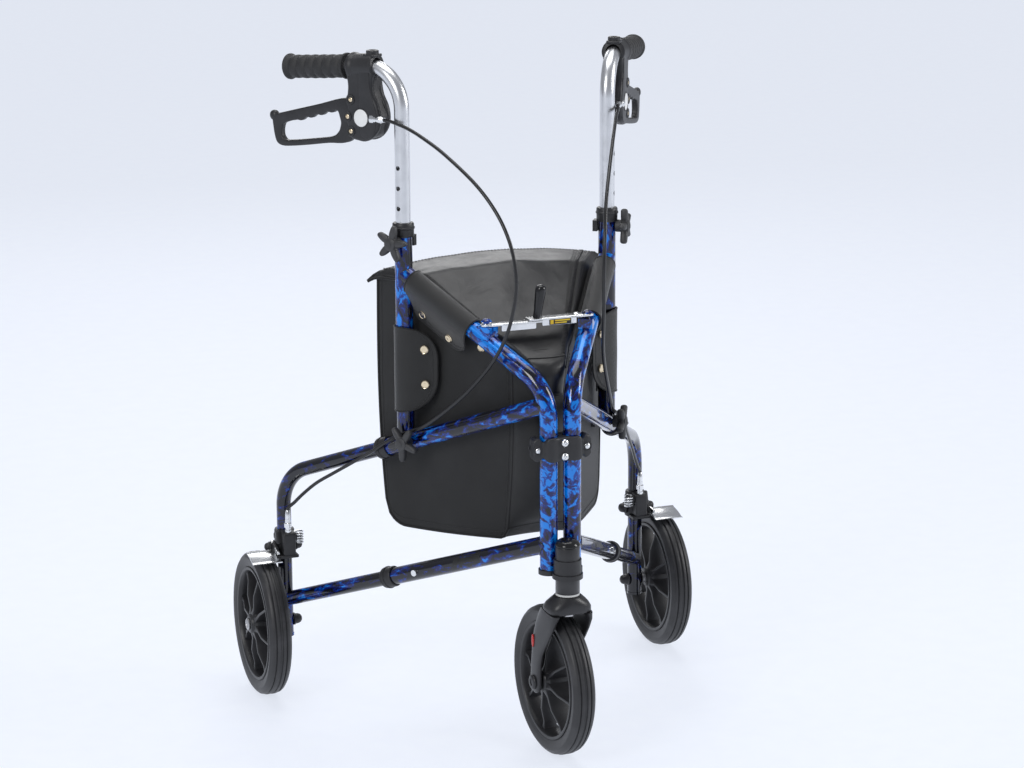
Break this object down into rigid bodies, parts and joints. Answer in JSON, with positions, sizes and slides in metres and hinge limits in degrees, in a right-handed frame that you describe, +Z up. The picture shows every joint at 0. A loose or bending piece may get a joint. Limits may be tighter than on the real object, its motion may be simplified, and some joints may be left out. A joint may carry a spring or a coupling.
{
  "type": "rollator walker",
  "caption": "Folding three-wheel walker: hinged side frames, caster front wheel, loop hand brakes, height-adjustable grips and a fabric bag.",
  "frame": {"origin": "on the floor, midway between the front of the front tyre and the backs of the rear tyres, in the middle between the two side frames", "axes": "+Z up; the walker's front faces -Y and the user walks at +Y; +X is the walker's right when seen from its front, with the mirror plane at X = 0"},
  "size_m": [0.6128, 0.5368, 0.8645],
  "materials": {
    "frame_paint": "gloss",
    "leg_paint": "gloss",
    "silver_tube": "satin",
    "zinc_steel": "satin",
    "black_plastic": "satin",
    "grey_plastic": "matte",
    "tyre": "satin",
    "grip_rubber": "matte",
    "bag_fabric": "matte",
    "bag_vinyl": "gloss",
    "cable_black": "satin",
    "red_plastic": "gloss",
    "bush_plastic": "satin",
    "stem_paint": "satin"
  },
  "bodies": {
    "front_hinge": {"hinge_clamp_front": "black_plastic", "hinge_clamp_rear": "black_plastic", "clamp_screws": "zinc_steel", "stem_tube": "stem_paint", "stem_cap": "black_plastic", "lower_bracket": "black_plastic", "stem_bushes": "bush_plastic", "bag_body": "bag_fabric", "bag_lid": "bag_vinyl"},
    "caster": {"fork": "black_plastic", "fork_reflectors": "red_plastic", "swivel_stem": "zinc_steel", "front_axle": "zinc_steel"},
    "front_wheel": {"front_tyre": "tyre", "front_rim": "black_plastic"},
    "side_frame_left": {"front_tube_left": "frame_paint", "upright_left": "frame_paint", "middle_tube_left": "frame_paint", "lower_tube_left": "frame_paint", "rear_leg_left": "leg_paint", "tube_collars_left": "black_plastic", "brake_bracket_left": "black_plastic", "knob_bolts_left": "black_plastic", "bag_sleeve_left": "bag_fabric", "brake_cable_left": "cable_black", "rear_axle_left": "zinc_steel"},
    "handle_left": {"handle_tube_left": "silver_tube", "brake_housing_left": "black_plastic", "grip_left": "grip_rubber"},
    "brake_lever_left": {"brake_lever_left": "black_plastic"},
    "brake_arm_left": {"brake_arm_left": "zinc_steel"},
    "rear_wheel_left": {"rear_tyre_left": "tyre", "rear_rim_left": "black_plastic"},
    "star_knob_upper_left": {"star_knob_upper_left": "grey_plastic"},
    "star_knob_lower_left": {"star_knob_lower_left": "grey_plastic"},
    "snap_button_left": {"snap_button_left": "zinc_steel"},
    "side_frame_right": {"front_tube_right": "frame_paint", "upright_right": "frame_paint", "middle_tube_right": "frame_paint", "lower_tube_right": "frame_paint", "rear_leg_right": "leg_paint", "tube_collars_right": "black_plastic", "brake_bracket_right": "black_plastic", "knob_bolts_right": "black_plastic", "bag_sleeve_right": "bag_fabric", "brake_cable_right": "cable_black", "rear_axle_right": "zinc_steel"},
    "handle_right": {"handle_tube_right": "silver_tube", "brake_housing_right": "black_plastic", "grip_right": "grip_rubber"},
    "brake_lever_right": {"brake_lever_right": "black_plastic"},
    "brake_arm_right": {"brake_arm_right": "zinc_steel"},
    "rear_wheel_right": {"rear_tyre_right": "tyre", "rear_rim_right": "black_plastic"},
    "star_knob_upper_right": {"star_knob_upper_right": "grey_plastic"},
    "star_knob_lower_right": {"star_knob_lower_right": "grey_plastic"},
    "snap_button_right": {"snap_button_right": "zinc_steel"},
    "link_left": {"link_bar_left": "zinc_steel"},
    "link_right": {"link_bar_right": "zinc_steel", "link_lever": "black_plastic"}
  },
  "joints": [
    {"name": "caster_swivel", "type": "hinge", "parent": "front_hinge", "child": "caster", "pos_m": [0, -0.21253, 0.2], "axis": [0, 0, 1], "continuous": true},
    {"name": "front_wheel_spin", "type": "hinge", "parent": "caster", "child": "front_wheel", "pos_m": [-0.00275, -0.17322, 0.095], "axis": [0.9976, 0.0698, 0], "continuous": true},
    {"name": "fold_left", "type": "hinge", "parent": "front_hinge", "child": "side_frame_left", "pos_m": [-0.0153, -0.18833, 0.4], "axis": [0, 0, -1], "range_deg": [0, 27.9], "deforming": ["bag_body", "bag_lid"]},
    {"name": "handle_height_left", "type": "slide", "parent": "side_frame_left", "child": "handle_left", "axis": [0, 0, 1], "range_m": [-0.0762, 0.0762], "deforming": ["brake_cable_left"]},
    {"name": "brake_squeeze_left", "type": "hinge", "parent": "handle_left", "child": "brake_lever_left", "pos_m": [-0.17662, 0.06104, 0.788], "axis": [0.8396, 0.5432, 0], "range_deg": [0, 14], "stiffness_Nm_per_rad": 1.5, "springref_deg": -8.59},
    {"name": "brake_arm_turn_left", "type": "hinge", "parent": "side_frame_left", "child": "brake_arm_left", "pos_m": [-0.24914, 0.17313, 0.198], "axis": [1, 0, 0], "range_deg": [0, 4]},
    {"name": "rear_wheel_spin_left", "type": "hinge", "parent": "side_frame_left", "child": "rear_wheel_left", "pos_m": [-0.28214, 0.17313, 0.095], "axis": [1, 0, 0], "continuous": true},
    {"name": "upper_knob_turn_left", "type": "hinge", "parent": "side_frame_left", "child": "star_knob_upper_left", "pos_m": [-0.146, -0.00728, 0.63], "axis": [-0.8396, -0.5432, 0], "continuous": true},
    {"name": "lower_knob_turn_left", "type": "hinge", "parent": "side_frame_left", "child": "star_knob_lower_left", "pos_m": [-0.13894, -0.0182, 0.376], "axis": [-0.8396, -0.5432, 0], "continuous": true},
    {"name": "button_press_left", "type": "slide", "parent": "side_frame_left", "child": "snap_button_left", "axis": [0.8396, 0.5432, 0], "range_m": [0, 0.0025], "stiffness_N_per_m": 600, "springref_m": -0.001},
    {"name": "fold_right", "type": "hinge", "parent": "front_hinge", "child": "side_frame_right", "pos_m": [0.0153, -0.18833, 0.4], "axis": [0, 0, 1], "range_deg": [0, 27.9], "deforming": ["bag_body", "bag_lid"]},
    {"name": "handle_height_right", "type": "slide", "parent": "side_frame_right", "child": "handle_right", "axis": [0, 0, 1], "range_m": [-0.0762, 0.0762], "deforming": ["brake_cable_right"]},
    {"name": "brake_squeeze_right", "type": "hinge", "parent": "handle_right", "child": "brake_lever_right", "pos_m": [0.17662, 0.06104, 0.788], "axis": [0.8396, -0.5432, 0], "range_deg": [0, 14], "stiffness_Nm_per_rad": 1.5, "springref_deg": -8.59},
    {"name": "brake_arm_turn_right", "type": "hinge", "parent": "side_frame_right", "child": "brake_arm_right", "pos_m": [0.24914, 0.17313, 0.198], "axis": [1, 0, 0], "range_deg": [0, 4]},
    {"name": "rear_wheel_spin_right", "type": "hinge", "parent": "side_frame_right", "child": "rear_wheel_right", "pos_m": [0.28214, 0.17313, 0.095], "axis": [1, 0, 0], "continuous": true},
    {"name": "upper_knob_turn_right", "type": "hinge", "parent": "side_frame_right", "child": "star_knob_upper_right", "pos_m": [0.146, -0.00728, 0.63], "axis": [0.8396, -0.5432, 0], "continuous": true},
    {"name": "lower_knob_turn_right", "type": "hinge", "parent": "side_frame_right", "child": "star_knob_lower_right", "pos_m": [0.13894, -0.0182, 0.376], "axis": [0.8396, -0.5432, 0], "continuous": true},
    {"name": "button_press_right", "type": "slide", "parent": "side_frame_right", "child": "snap_button_right", "axis": [-0.8396, 0.5432, 0], "range_m": [0, 0.0025], "stiffness_N_per_m": 600, "springref_m": -0.001},
    {"name": "link_fold_left", "type": "hinge", "parent": "side_frame_left", "child": "link_left", "pos_m": [-0.06636, -0.1094, 0.5414], "axis": [0, 0, -1], "range_deg": [0, 41.45]},
    {"name": "link_fold_right", "type": "hinge", "parent": "side_frame_right", "child": "link_right", "pos_m": [0.06636, -0.1094, 0.5414], "axis": [0, 0, 1], "range_deg": [0, 41.45]}
  ],
  "couplings": [
    {"joint": "brake_arm_turn_left", "follows": "brake_squeeze_left", "ratio": 0.28571},
    {"joint": "brake_arm_turn_right", "follows": "brake_squeeze_right", "ratio": 0.28571},
    {"joint": "fold_left", "follows": "fold_right", "ratio": 1},
    {"joint": "link_fold_left", "follows": "fold_right", "ratio": 1.4839},
    {"joint": "link_fold_right", "follows": "fold_right", "ratio": 1.4839}
  ]
}
